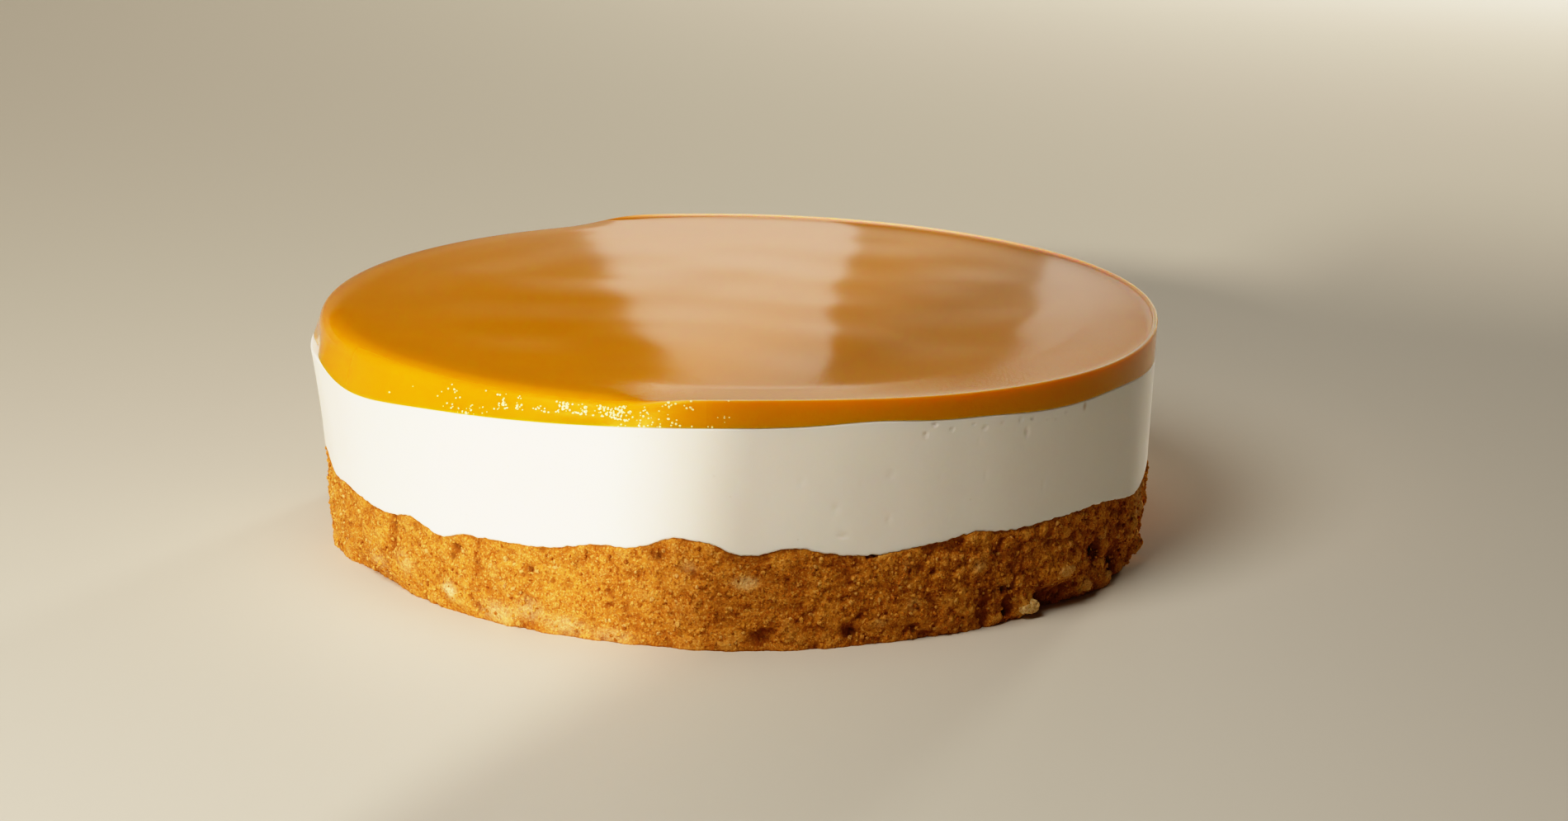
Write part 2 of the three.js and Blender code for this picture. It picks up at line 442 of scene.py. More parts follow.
def crumb_material():
    made = bpy.data.materials.get("pressed crumb")
    if made:
        return made
    made = bpy.data.materials.new("pressed crumb")
    colours = bpy.context.scene.cake_colours
    graph = Graph(made)
    place = graph.place()
    relief = graph.attribute("relief")
    pale = graph.attribute("pale")
    dark = graph.attribute("dark")

    patches = graph.ramp(graph.noise(place, 6.0 * MM, 2.0, 0.5), (0.38, 0.0), (0.62, 1.0))
    mottles = graph.ramp(graph.noise(place, 1.8 * MM, 3.0, 0.65), (0.4, 0.0), (0.6, 1.0))
    grain = graph.ramp(graph.noise(place, 0.5 * MM, 2.0, 0.65), (0.4, 0.0), (0.6, 1.0))
    flecks = graph.ramp(graph.noise(place, 0.42 * MM, 1.0, 0.5), (0.56, 0.0), (0.66, 1.0))
    specks = graph.ramp(graph.noise(place, 0.55 * MM, 1.0, 0.5), (0.34, 1.0), (0.44, 0.0))
    # Painted shade: on the crumb's side its colour is darker where the relief lies back, in the
    # hollows. On the loose grains the relief is a random tone.
    hollow_shade_and_grain_tone = graph.ramp(relief, (0.2, 1.0), (0.47, 0.0))
    # Painted highlight: on the crumb's side its colour is lighter where the relief stands out, on the
    # crowns. On the loose grains the relief is a random tone.
    crown = graph.ramp(relief, (0.5, 0.0), (0.8, 1.0))

    share = 0.25 * patches + 0.35 * mottles + 0.4 * grain
    colour = graph.blend(share, colours.crumb_toasted, colours.crumb_golden)
    # Painted highlight on the crowns.
    colour = graph.blend(crown * 0.35, colour, colours.crumb_flecks_and_crown_highlight)
    colour = graph.blend(flecks * 0.55, colour, colours.crumb_flecks_and_crown_highlight)
    colour = graph.blend(specks * 0.55, colour, colours.crumb_specks_and_pore_shade)
    # Painted shade in the hollows, and a random tone on the loose grains.
    colour = graph.blend(hollow_shade_and_grain_tone * 0.7, colour, colours.crumb_specks_and_pore_shade)
    colour = graph.blend(pale * (0.45 + 0.55 * grain), colour, colours.crumb_pale)
    # Painted shade down in the cracks and holes.
    colour = graph.blend(dark * (0.35 + 0.8 * mottles), colour, colours.crumb_shade_in_cracks)

    normal = graph.bump(graph.noise(place, 0.6 * MM, 3.0, 0.7), 0.4 * MM)
    graph.surface({
        "Base Color": colour,
        "Roughness": 0.85,
        "IOR": 1.4,
        "Specular IOR Level": 0.2,
        "Subsurface Weight": 0.15,
        "Subsurface Radius": (1.0, 0.35, 0.08),
        "Subsurface Scale": 0.8 * MM,
        "Normal": normal,
    })
    return made


def cream_material():
    made = bpy.data.materials.new("set cream")
    colours = bpy.context.scene.cake_colours
    graph = Graph(made)
    place = graph.place()

    cloud = graph.ramp(graph.noise(place, 14 * MM, 3.0, 0.55), (0.35, 0.0), (0.7, 1.0))
    specks = graph.ramp(graph.cells(place, 4.5 * MM), (0.03, 1.0), (0.06, 0.0))
    colour = graph.blend(cloud * 0.5, colours.cream, colours.cream_warm)
    # Painted shade down in the pits of the bubbles.
    colour = graph.blend(specks * 0.15, colour, colours.cream_pit_shade)
    colour = graph.blend(graph.attribute("brown"), colour, colours.cream_speck)

    smooth = graph.noise(place, 3.0 * MM, 3.0, 0.6)
    normal = graph.bump(0.25 * smooth - 0.4 * specks, 0.12 * MM)
    graph.surface({
        "Base Color": colour,
        "Roughness": 0.42 + 0.1 * cloud,
        "IOR": 1.42,
        "Specular IOR Level": 0.35,
        "Subsurface Weight": 0.45,
        "Subsurface Radius": (1.0, 0.75, 0.5),
        "Subsurface Scale": 3.0 * MM,
        "Normal": normal,
    })
    return made


def topping_material():
    made = bpy.data.materials.new("orange jelly")
    colours = bpy.context.scene.cake_colours
    graph = Graph(made)
    place = graph.place()

    cloud = graph.ramp(graph.noise(place, 22 * MM, 2.0, 0.5), (0.35, 0.0), (0.68, 1.0))
    colour = graph.blend(cloud * 0.5, colours.topping, colours.topping_deep)
    # The fin's edge is painted lighter: partly the paler colour of thin jelly, partly a painted
    # highlight for the bright line along its crown.
    colour = graph.blend(graph.attribute("thin"), colour, colours.topping_fin_highlight)

    normal = graph.bump(graph.attribute("peel") * graph.noise(place, 0.8 * MM, 3.0, 0.6), 0.055 * MM)
    graph.surface({
        "Base Color": colour,
        "Roughness": 0.065 + 0.3 * graph.attribute("dull"),
        "IOR": 1.45,
        "Specular Tint": colours.topping_sheen,
        "Subsurface Weight": 1.0,
        "Subsurface Radius": (1.0, 0.5, 0.08),
        "Subsurface Scale": 4 * MM,
        "Normal": normal,
    })
    return made


def bead_material():
    made = bpy.data.materials.new("jelly bead")
    Graph(made).surface({
        # A painted glint: the beads' pale colour, on top of what they mirror
        "Base Color": bpy.context.scene.cake_colours.bead_glint,
        "Roughness": 0.1,
        "IOR": 1.45,
        "Specular IOR Level": 1.0,
    })
    return made


# ---------------------------------------------------------------- the crumb

def solid_radii(node, azimuths, heights):
    """How far a solid's side is from the axis, at each azimuth and height."""
    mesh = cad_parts[node].data
    faces = [tuple(face.vertices) for face in mesh.polygons]
    tree = BVHTree.FromPolygons([v.co for v in mesh.vertices], faces)
    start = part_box(node)[1].x + 20 * MM
    radii = np.empty_like(heights)
    for column, azimuth in enumerate(np.radians(azimuths)):
        out = Vector((math.sin(azimuth), -math.cos(azimuth), 0))
        for row, height in enumerate(heights[:, column]):
            hit = tree.ray_cast(out * start + Vector((0, 0, height)), -out)[0]
            radii[row, column] = hit.xy.length
    return radii


def over_side(radii, heights, value):
    """A value for each point of a side, worked out from where the point is."""
    angles = np.radians(even_azimuths(radii.shape[1]))
    return np.array([
        [value(Vector((r * math.sin(a), r * math.cos(a), z))) for a, r, z in zip(angles, *row)]
        for row in zip(radii, heights)
    ])


def crumb_side():
    """The crumb's side: its radii, its heights and how far each point stands out or lies back."""
    sizes = bpy.context.scene.cake_sizes
    return crumb_grid(
        sizes.seed, sizes.grain, sizes.crags, sizes.line_smoothing, sizes.crumb_line_wave)


@lru_cache(maxsize=1)
def crumb_grid(seed, grain, crags, *_):
    """The side for these sizes, worked out only once. The last two are what the seam lines read."""
    random = np.random.default_rng(seed)
    azimuths = even_azimuths(CRUMB_COLUMNS)
    line, _ = seam_lines(CRUMB_COLUMNS)
    share = np.linspace(0, 1, CRUMB_ROWS)[:, None]
    heights = share * line
    inside = np.clip(heights, 0.15 * MM, line - 0.6 * MM)
    solid = solid_radii("crumb_base", azimuths, inside)
    radii = soften(solid, 0.35)

    relief = np.zeros_like(radii)
    grains = [
        (1500, (0.9 * MM, 1.8 * MM), 0.3 * MM),
        (9000, (0.45 * MM, 0.9 * MM), 0.24 * MM),
        (350, (0.5 * MM, 1.0 * MM), -0.4 * MM),
        (2200, (0.35 * MM, 0.6 * MM), -0.22 * MM),
    ]
    for count, reach, rise in grains:
        studded(relief, heights, count, reach, rise * grain, random)
    rough = over_side(radii, heights, lambda at: noise.fractal(at / (1.4 * MM), 0.7, 2.0, 3))
    creased = over_side(radii, heights, lambda at: noise.turbulence(at / (3.0 * MM), 4, True))
    creased = np.clip((creased - creased.mean()) / creased.std(), -2, 2)
    crags = crags * (0.35 + 0.65 * stretch(azimuths, CRAGGY))
    relief += 0.16 * MM * grain * rough + crags * creased - 0.2 * MM
    relief += spots(heights, CRACKS, "deep") * MM * np.clip(0.8 + 0.9 * rough, 0.2, 1.6)
    under_cream = np.clip((1 - share) * line / (1.0 * MM), 0, 1)
    radii = radii + relief * (0.2 + 0.8 * under_cream) - 0.2 * MM * (1 - under_cream)
    mean = soften(solid, 3.0)
    return radii, heights, (radii - mean) / MM


def crumb_rings(radii, heights):
    """The side, closed below by the flat foot, and above by the level top under the cream."""
    columns = radii.shape[1]
    level = heights[-1].mean()
    return np.array([
        ring(0, 0, columns),
        ring(CORE, 0, columns),
        *np.stack([radii, heights], axis=-1),
        ring(radii[-1] - 0.7 * MM, heights[-1] + 0.02 * MM, columns),
        ring(CORE, level, columns),
        ring(0, level, columns),
    ])


def padded(side):
    """A value for each point of the side, carried on over the crumb's foot and its top."""
    return np.pad(side, ((2, 3), (0, 0)), "edge")


def stone(bm, place, outward, size, squash, random):
    """One small rough grain, half sunk where it is put."""
    turn = Vector(random.normal(size=3)).to_track_quat("Z", "Y").to_matrix().to_4x4()
    scale = Matrix.Diagonal((*(size * random.uniform(0.7, 1.2, 3)), 1))
    flat = Matrix.Scale(squash, 4, outward)
    at = Matrix.Translation(place)
    made = bmesh.ops.create_icosphere(bm, subdivisions=1, radius=1.0, matrix=at @ flat @ turn @ scale)
    for vert in made["verts"]:
        vert.co += Vector(random.normal(scale=0.12 * size, size=3))


class CAKE_OT_crumb(bpy.types.Operator):
    """Make the pressed crumb base, with its grains, pores, crags and drawn-in foot"""

    bl_idname = "cake.crumb"
    bl_label = "Crumb base"

    def execute(self, context):
        radii, heights, relief = crumb_side()
        mesh = rolled(
            "crumb",
            crumb_rings(radii, heights),
            # The relief also sets the painted shade in the crumb's hollows and the painted highlight on
            # its crowns.
            relief=padded(0.5 + 0.5 * np.clip(relief, -1, 1)),
            pale=padded(spots(heights, PALE_MARKS, "pale")),
            # Painted shade down in the cracks.
            dark=padded(spots(heights, CRACKS, "dark")),
        )
        add_piece("crumb", mesh, crumb_material(), "crumb", "crumb_base")
        return {"FINISHED"}


class CAKE_OT_grains(bpy.types.Operator):
    """Press loose grains into the side of the crumb, so that some of them overhang"""

    bl_idname = "cake.grains"
    bl_label = "Loose grains"

    def execute(self, context):
        sizes = context.scene.cake_sizes
        random = np.random.default_rng(sizes.seed + 1)
        crumb = bpy.data.objects["crumb"].data
        points = np.empty(len(crumb.vertices) * 3, np.float32)
        crumb.vertices.foreach_get("co", points)
        points = points.reshape(-1, 3)
        radius, _, height = polar(points)
        side = np.flatnonzero((radius > SIDE) & (height > 0.7 * MM))
        line, _ = seam_lines(CRUMB_COLUMNS)
        bm = bmesh.new()
        for index in random.choice(side, sizes.loose_grains, replace=False):
            x, y, z = (float(part) for part in points[index])
            column = int(round(polar(points[index])[1] * CRUMB_COLUMNS / 360)) % CRUMB_COLUMNS
            if z > line[column] - 0.9 * MM:
                continue
            outward = Vector((x, y, 0)).normalized()
            size = float(random.uniform(0.2, 0.6)) * MM
            stone(bm, Vector((x, y, z)), outward, size, 0.8, random)
        mesh = finished(bm, bpy.data.meshes.new("crumb_grains"), smooth=False)
        tone = np.repeat(random.uniform(0.2, 0.95, len(mesh.vertices) // 12), 12)
        paint(mesh, "relief", tone)
        paint(mesh, "pale", np.clip(tone * 3 - 2.5, 0, 0.25))
        paint(mesh, "dark", 0)
        add_piece("crumb_grains", mesh, crumb_material(), "crumb")
        return {"FINISHED"}


class CAKE_OT_chunks(bpy.types.Operator):
    """Set the larger chunks that cling to the broken stretch at the right of the foot"""

    bl_idname = "cake.chunks"
    bl_label = "Clinging chunks"

    def execute(self, context):
        radii, heights, _ = crumb_side()
        random = np.random.default_rng(context.scene.cake_sizes.seed + 3)
        mean = soften(radii, 0.8)
        bm = bmesh.new()
        pale = []
        for number, chunk in enumerate(CHUNKS):
            angle = math.radians(chunk["at"])
            column = int(round(chunk["at"] * CRUMB_COLUMNS / 360)) % CRUMB_COLUMNS
            row = int(np.argmin(abs(heights[:, column] - chunk["height"] * MM)))
            outward = Vector((math.sin(angle), -math.cos(angle), 0))
            sunk = mean[row, column] - 0.35 * chunk["out"] * MM
            centre = outward * sunk + Vector((0, 0, chunk["height"] * MM))
            along = Matrix.Rotation(angle, 4, "Z")
            size = Matrix.Diagonal((chunk["across"] * MM, chunk["out"] * MM, chunk["tall"] * MM, 1))
            made = bmesh.ops.create_icosphere(bm, subdivisions=5, radius=1.15)["verts"]
            cuts = [(Vector(way).normalized(), depth) for way, depth in zip(
                random.normal(size=(11, 3)), random.uniform(0.6, 0.9, 11))]
            for vert in made:
                for way, depth in cuts:
                    vert.co -= way * max(0, vert.co.dot(way) - depth)
                seed = Vector((0, 0, 7.0 * number))
                rough = noise.fractal(vert.co * 2.6 + seed, 0.6, 2.1, 5)
                vert.co = centre + along @ size @ (vert.co * (1 + 0.16 * rough))
                vert.co.z = max(vert.co.z, 0.1 * MM)
                pale.append(chunk["pale"])
        mesh = finished(bm, bpy.data.meshes.new("crumb_chunks"))
        paint(mesh, "relief", 0.62)
        paint(mesh, "pale", np.array(pale))
        paint(mesh, "dark", 0)
        add_piece("crumb_chunks", mesh, crumb_material(), "crumb")
        return {"FINISHED"}


# ---------------------------------------------------------------- the cream

class CAKE_OT_cream(bpy.types.Operator):
    """Make the set cream, from the wavy crumb line to the line under the topping"""

    bl_idname = "cake.cream"
    bl_label = "Cream layer"

    def execute(self, context):
        sizes = context.scene.cake_sizes
        random = np.random.default_rng(sizes.seed + 2)
        columns = CREAM_COLUMNS
        azimuths = even_azimuths(columns)
        lower, upper = seam_lines(columns)
        side = side_of("cream_layer", columns, sizes.line_smoothing)
        share = np.linspace(0, 1, CREAM_ROWS)[:, None]
        share = share - 0.11 * np.sin(2 * np.pi * share)  # closer rows near both edges
        heights = lower + share * (upper - lower)
        radii = np.array([
            np.interp(heights[:, column], side[:, column, 1], side[:, column, 0])
            for column in range(columns)
        ]).T

        def fillet(distance, radius):
            near = np.clip(1 - distance / radius, 0, 1)
            return radius * (1 - np.sqrt(1 - near**2))

        radii = radii - fillet(heights - lower, sizes.cream_foot_round)
        radii = radii - fillet(upper - heights, sizes.cream_lip_round)

        pits = spots(heights, DIMPLES, "deep") * MM
        studded(pits, heights - lower, 60, (0.3 * MM, 0.6 * MM), -0.12 * MM, random)
        row = BUBBLE_ROW
        bubbles = [
            {"at": at + random.uniform(-1.0, 1.0), "deep": -0.3, "across": size, "tall": size * 0.8,
             "height": float(np.interp(at, azimuths, upper)) / MM - random.uniform(0.6, 2.4)}
            for at, size in zip(
                np.linspace(row["from"], row["to"], row["count"]),
                random.uniform(0.2, 0.5, row["count"]),
            )
        ]
        pits += spots(heights, bubbles, "deep") * MM
        levels = np.linspace(0, 50 * MM, 8)
        # Waves some 10 mm wide and 23 mm tall
        wave = np.array([
            [
                noise.noise(Vector((math.sin(a) * 9, math.cos(a) * 9, 0.6 * level / (14 * MM))))
                for a in np.radians(azimuths)
            ]
            for level in levels
        ])
        swell = np.array([
            np.interp(heights[:, column], levels, wave[:, column]) for column in range(columns)
        ]).T
        radii = radii + pits + 0.12 * MM * swell

        rings = np.array([
            ring(0, lower.mean(), columns),
            ring(CORE, lower.mean(), columns),
            ring(radii[0] - 1.2 * MM, lower, columns),
            *np.stack([radii, heights], axis=-1),
            ring(radii[-1] - 2.5 * MM, upper, columns),
            ring(CORE, upper.mean(), columns),
            ring(0, upper.mean(), columns),
        ])
        brown = np.pad(spots(heights, DIMPLES, "brown"), ((3, 3), (0, 0)), "edge")
        mesh = rolled("cream", rings, brown=brown)
        add_piece("cream", mesh, cream_material(), "cream", "cream_layer")
        return {"FINISHED"}


# ---------------------------------------------------------------- the topping

def corners_cut(points, times):
    """Rounds a line of points by cutting its corners over and over. The ends stay."""
    for _ in range(times):
        behind, ahead = points[:-1], points[1:]
        cut = np.stack([0.75 * behind + 0.25 * ahead, 0.25 * behind + 0.75 * ahead], axis=1)
        cut = cut.reshape(-1, *points.shape[1:])
        points = np.concatenate([points[:1], cut, points[-1:]])
    return points


class CAKE_OT_topping(bpy.types.Operator):
    """Make the glossy topping, with its thin fin at the front and right and its worn rim at the left"""

    bl_idname = "cake.topping"
    bl_label = "Topping"

    def execute(self, context):
        sizes = context.scene.cake_sizes
        columns = TOPPING_COLUMNS
        side = side_of("topping_layer", columns, sizes.line_smoothing)
        _, upper = seam_lines(columns)
        side[0, :, 1] = upper + 0.02 * MM
        inner = side[-1] - (sizes.rise_reach, 0)
        inner[:, 1] = self.flat_height()
        rim = corners_cut(np.concatenate([side, inner[None]]), CORNER_CUTS)
        top = self.top(inner, sizes)
        below = [
            ring(0, upper.mean(), columns),
            ring(CORE, upper.mean(), columns),
            ring(rim[0, :, 0] - 1.0 * MM, upper, columns),
        ]
        rings = np.concatenate([below, rim, top])

        azimuths = even_azimuths(columns)
        off_wall = side[1:].max(axis=0)[:, 0] - rings[:, :, 0]
        below_edge = side[1:, :, 1].max(axis=0) - rings[:, :, 1]
        past_crown = off_wall - 0.3 * MM  # the fin's crown is this far in from the wall
        inward = (0.8 + 2.4 * stretch(azimuths, WIDE_FIN_HIGHLIGHT)) * MM
        reach = np.where(past_crown > 0, inward, 0.35 * MM)
        # Where the fin's edge is painted lighter, partly as a painted highlight, fading out from its
        # crown.
        fin = np.clip(1 - np.hypot(past_crown, below_edge) / reach, 0, 1) * stretch(azimuths, FIN)
        near_rim = np.clip((rings[:, :, 0] - 60 * MM) / (24 * MM), 0, 1) ** 2
        peel = 0.05 + 0.95 * near_rim * stretch(azimuths, PEEL)
        dull = np.clip(2.2 - off_wall / (1.2 * MM), 0, 1) * stretch(azimuths, DULL)
        mesh = rolled("topping", rings, thin=sizes.fin_highlight_strength * fin, peel=peel, dull=dull)
        add_piece("topping", mesh, topping_material(), "topping", "topping_layer")
        return {"FINISHED"}

    def top(self, inner, sizes):
        """The rings of the flat top, inside this one, with its low swells."""
        angles = np.radians(even_azimuths(len(inner)))
        share = np.linspace(1, 0, TOP_RINGS + 1)[1:, None]
        radii = share * inner[:, 0]
        swells = np.array([
            [
                noise.noise(Vector((r * math.sin(a), -r * math.cos(a), 0)) / sizes.swell_size)
                for a, r in zip(angles, row)
            ]
            for row in radii
        ])
        heights = inner[:, 1] + sizes.swell_depth * swells * np.clip((1 - share) * 6, 0, 1)
        heights[-1] = heights[-1].mean()
        return np.stack([radii, heights], axis=-1)

    def flat_height(self):
        """Height of the flat of the topping, which is the solid's height on the axis."""
        points = node_points("topping_layer")
        return float(points[polar(points)[0] < MM][:, 2].max())


class CAKE_OT_beads(bpy.types.Operator):
    """Set tiny beads on the front left of the topping's side, which glitter in the key light; their
    pale colour is a painted glint
    """

    bl_idname = "cake.beads"
    bl_label = "Beads"

    def execute(self, context):
        sizes = context.scene.cake_sizes
        random = np.random.default_rng(sizes.seed + 4)
        topping = bpy.data.objects["topping"].data
        faces = [face for face in topping.polygons if abs(face.normal.z) < 0.6]
        share = np.array([self.share(face) for face in faces])
        bm = bmesh.new()
        for index in random.choice(len(faces), sizes.beads, p=share / share.sum()):
            corners = [topping.vertices[number] for number in faces[index].vertices]
            parts = random.dirichlet((1, 1, 1, 1))
            place = sum((vert.co * part for vert, part in zip(corners, parts)), Vector())
            normal = sum((vert.normal * part for vert, part in zip(corners, parts)), Vector())
            size = random.uniform(0.11, 0.28) * MM
            turn = normal.to_track_quat("Z", "Y").to_matrix().to_4x4()
            shape = Matrix.Diagonal((size, size * random.uniform(0.8, 1), 0.35 * size, 1))
            at = Matrix.Translation(place) @ turn @ shape
            bmesh.ops.create_uvsphere(bm, u_segments=8, v_segments=6, radius=1.0, matrix=at)
        mesh = finished(bm, bpy.data.meshes.new("topping_beads"))
        add_piece("topping_beads", mesh, bead_material(), "topping")
        return {"FINISHED"}

    def share(self, face):
        """How likely this face is to carry one of the beads. Beads come in clusters, within a stretch
        of the side.
        """
        azimuth = math.degrees(math.atan2(face.center.x, -face.center.y))
        off = (azimuth - BEADS["at"]) / BEADS["spread"]
        cluster = max(0, noise.noise(face.center / (2.6 * MM)) + 0.18)
        return face.area * math.exp(-0.5 * off**2) * cluster


# ---------------------------------------------------------------- the stage

# Rows of each soft panel, from its foot to its head, as (height, left edge, right edge) in
# millimetres, and how bright the panel is. Their slanted edges show in the topping's mirror.
PANELS = (
    ("panel_left", ((335, -110, 80), (420, -62, 56), (490, -20, 50), (900, 40, 75)), 1.0),
    ("panel_right", ((335, 202, 1650), (490, 164, 1650), (900, 164, 1650)), 0.92),
)
# How a panel dims with height, as (metres, share)
PANEL_FALL = ((0.36, 1.0), (0.39, 0.86), (0.42, 0.66), (0.45, 0.55), (0.6, 0.48))
# The band round the horizon: how it fades with the way's z, as a share of its top, and how bright
# it is across, from 0.2 left of the middle to 0.3 right of it
BAND_FALL = ((0.86, 1.0), (0.89, 0.73), (0.93, 0.33), (0.97, 0.11), (1.0, 0.0))
BAND_ACROSS = ((0.2, 0.3), (0.3, 0.65), (0.5, 0.95), (0.65, 1.0), (1.0, 0.5))


def towards(azimuth, height):
    """The way to something at this azimuth, and this many degrees above the horizon."""
    a, e = math.radians(azimuth), math.radians(height)
    return Vector((math.sin(a) * math.cos(e), -math.cos(a) * math.cos(e), math.sin(e)))


class CAKE_OT_stage(bpy.types.Operator):
    """Set the pale floor, the lights, the soft panels behind the cake and the camera"""

    bl_idname = "cake.stage"
    bl_label = "Stage"

    def execute(self, context):
        stage = context.scene.cake_stage
        self.add_floor(stage)
        self.add_key(stage)
        self.add_blind(stage)
        self.add_soft(stage, "fill")
        self.add_soft(stage, "rim").visible_glossy = False
        self.add_panels(stage)
        self.add_world(stage)
        self.add_camera(stage)
        self.set_view(context.scene)
        return {"FINISHED"}

    def link(self, name, data):
        made = bpy.data.objects.new(name, data)
        bpy.context.scene.collection.objects.link(made)
        return made

    def sheet(self, name, corners, material=None):
        """A flat sheet that the camera doesn't see. Its rows of corners run up from its foot."""
        bm = bmesh.new()
        made = bmesh.ops.create_grid(bm, x_segments=1, y_segments=len(corners) // 2 - 1, size=0.5)
        for vert, corner in zip(made["verts"], corners):
            vert.co = corner
        mesh = bpy.data.meshes.new(name)
        bm.to_mesh(mesh)
        bm.free()
        if material:
            mesh.materials.append(material)
        made = self.link(name, mesh)
        made.visible_camera = False
        return made

    def add_floor(self, stage):
        bm = bmesh.new()
        bmesh.ops.create_circle(bm, cap_ends=True, segments=96, radius=stage.floor_radius)
        mesh = bpy.data.meshes.new("floor")
        bm.to_mesh(mesh)
        bm.free()
        made = bpy.data.materials.new("floor")
        Graph(made).surface({"Base Color": stage.floor_colour, "Roughness": 0.6})
        mesh.materials.append(made)
        self.link("floor", mesh)

    def add_key(self, stage):
        key = bpy.data.lights.new("key", "SUN")
        key.energy = stage.key_strength
        key.color = stage.key_colour
        key.angle = stage.key_spread
        lamp = self.link("key", key)
        way = towards(stage.key_azimuth, stage.key_height)
        lamp.rotation_euler = way.to_track_quat("Z", "Y").to_euler()

    def add_blind(self, stage):
        """Holds the key light off the right of the cake, from where its edge crosses the front."""
        way = towards(stage.key_azimuth, 0)
        along = Vector((-way.y, way.x, 0))
        foot = towards(stage.shade_from, 0) * 90 * MM + way * stage.blind_distance
        foot = foot - along * 0.58 * stage.blind_lean
        up = Vector((0, 0, stage.blind_height)) + along * stage.blind_lean
        across = along * stage.blind_width
        blind = self.sheet("blind", (foot, foot + across, foot + up, foot + across + up))
        blind.visible_diffuse = False
        blind.visible_glossy = False
        blind.visible_transmission = False

    def add_soft(self, stage, name):
        """A round soft light that is turned to the cake, from the stage's values of this name."""
        light = bpy.data.lights.new(name, "AREA")
        light.shape = "DISK"
        light.size = getattr(stage, name + "_size")
        light.energy = getattr(stage, name + "_power")
        light.color = getattr(stage, name + "_colour")
        lamp = self.link(name, light)
        way = towards(getattr(stage, name + "_azimuth"), getattr(stage, name + "_height"))
        lamp.location = way * getattr(stage, name + "_distance")
        lamp.rotation_euler = way.to_track_quat("Z", "Y").to_euler()
        lamp.visible_camera = False
        return lamp

    def add_panels(self, stage):
        """The soft panels behind the cake, which its top mirrors."""
        for name, rows, share in PANELS:
            glow = bpy.data.materials.new(name)
            graph = Graph(glow)
            height = graph.node("ShaderNodeSeparateXYZ", None, {0: graph.place()}, "Z")
            fall = graph.ramp(height, *PANEL_FALL)
            shine = graph.node("ShaderNodeEmission", None, {
                "Color": stage.panel_colour,
                "Strength": stage.panel_strength * share * fall,
            })
            graph.node("ShaderNodeOutputMaterial", None, {"Surface": shine})
            corners = [
                Vector((x * MM, stage.panel_distance, z * MM))
                for z, *edges in rows
                for x in edges
            ]
            self.sheet(name, corners, glow).visible_shadow = False

    def add_world(self, stage):
        world = bpy.data.worlds.new("studio")
        bpy.context.scene.world = world
        graph = Graph(world)
        way = graph.node("ShaderNodeTexCoord", output="Generated")
        up = graph.node("ShaderNodeSeparateXYZ", None, {0: way}, "Z")
        right = graph.node("ShaderNodeSeparateXYZ", None, {0: way}, "X")
        right = right * 2 + 0.4
        # The right half stays a little hazy above the band.
        haze = graph.ramp(right, (0.38, 0.0), (0.5, 0.3)) * graph.ramp(up, (0.25, 1.0), (0.3, 0.0))
        band = graph.ramp(up, *((part * stage.band_top, grey) for part, grey in BAND_FALL))
        across = graph.ramp(right, *BAND_ACROSS)
        share = across * (band + haze * (1 - band))
        shade = graph.blend(share, stage.ceiling_colour, stage.band_colour)
        lit = graph.node("ShaderNodeBackground", None, {"Color": shade, "Strength": 1.0})
        graph.node("ShaderNodeOutputWorld", None, {"Surface": lit})

    def add_camera(self, stage):
        camera = bpy.data.cameras.new("camera")
        camera.lens = stage.lens
        camera.sensor_width = 36
        camera.clip_start = 0.01
        made = self.link("camera", camera)
        turn = Matrix.Rotation(-stage.pan, 4, "Z") @ Matrix.Rotation(math.pi / 2 - stage.pitch, 4, "X")
        place = Matrix.Translation(stage.camera_place)
        made.matrix_world = place @ turn @ Matrix.Rotation(stage.roll, 4, "Z")
        bpy.context.scene.camera = made

    def set_view(self, scene):
        """Deepens the shades a little, which makes their colours richer, and rolls highlights off."""
        view = scene.view_settings
        view.view_transform = "Standard"
        view.use_curve_mapping = True
        mapping = view.curve_mapping
        white = 2.5
        mapping.white_level = (white, white, white)
        curve = mapping.curves[3]
        for level in (0.012, 0.025, 0.05, 0.08, 0.12, 0.2, 0.35, 0.5, 0.75, 1.0, 1.4, 1.9):
            deep = 1.15 * level**2 / (level + 0.042)
            curve.points.new(level / white, deep / (1 + deep**2.6) ** (1 / 2.6))
        mapping.update()


# ---------------------------------------------------------------- what a user can change

def length(name, default, description):
    return FloatProperty(
        name=name, description=description, default=default, unit="LENGTH", precision=5)


def degrees(name, default, description):
    return FloatProperty(
        name=name, description=description, default=math.radians(default), unit="ROTATION")


def number(name, default, description):
    return FloatProperty(name=name, description=description, default=default)


def colour(name, default, description):
    return FloatVectorProperty(
        name=name, description=description, default=default, size=3, min=0, soft_max=1, subtype="COLOR")


class CakeSizes(bpy.types.PropertyGroup):
    seed: IntProperty(name="Seed", description="Draws another cake of the same kind", default=7)
    grain: number("Grain", 1.0, "How rough the crumb is")
    crags: length("Crags", 0.23 * MM, "Height of the crumb's crags where it is broken")
    loose_grains: IntProperty(
        name="Loose grains", description="How many grains stick to the crumb", default=4200)
    line_smoothing: number("Line smoothing", 0.7, "Degrees over which the lines are smoothed")
    crumb_line_wave: length("Crumb line wave", 0.26 * MM, "How uneven the crumb's upper line is")
    cream_foot_round: length("Cream foot", 0.5 * MM, "Rounding of the cream's lower edge")
    cream_lip_round: length("Cream lip", 0.45 * MM, "Rounding of the cream's upper edge")
    swell_size: length("Swell size", 22 * MM, "Size of the topping's low swells")
    swell_depth: length("Swell depth", 0.075 * MM, "Height of the topping's low swells")
    rise_reach: length("Rise reach", 10 * MM, "How far in from the rim the topping's rise fades out")
    # Strength of the fin's lighter paint, which is partly a painted highlight
    fin_highlight_strength: number("Fin lightness", 0.9, "How light the thin fin is")
    beads: IntProperty(name="Beads", description="How many beads the topping's side has", default=330)


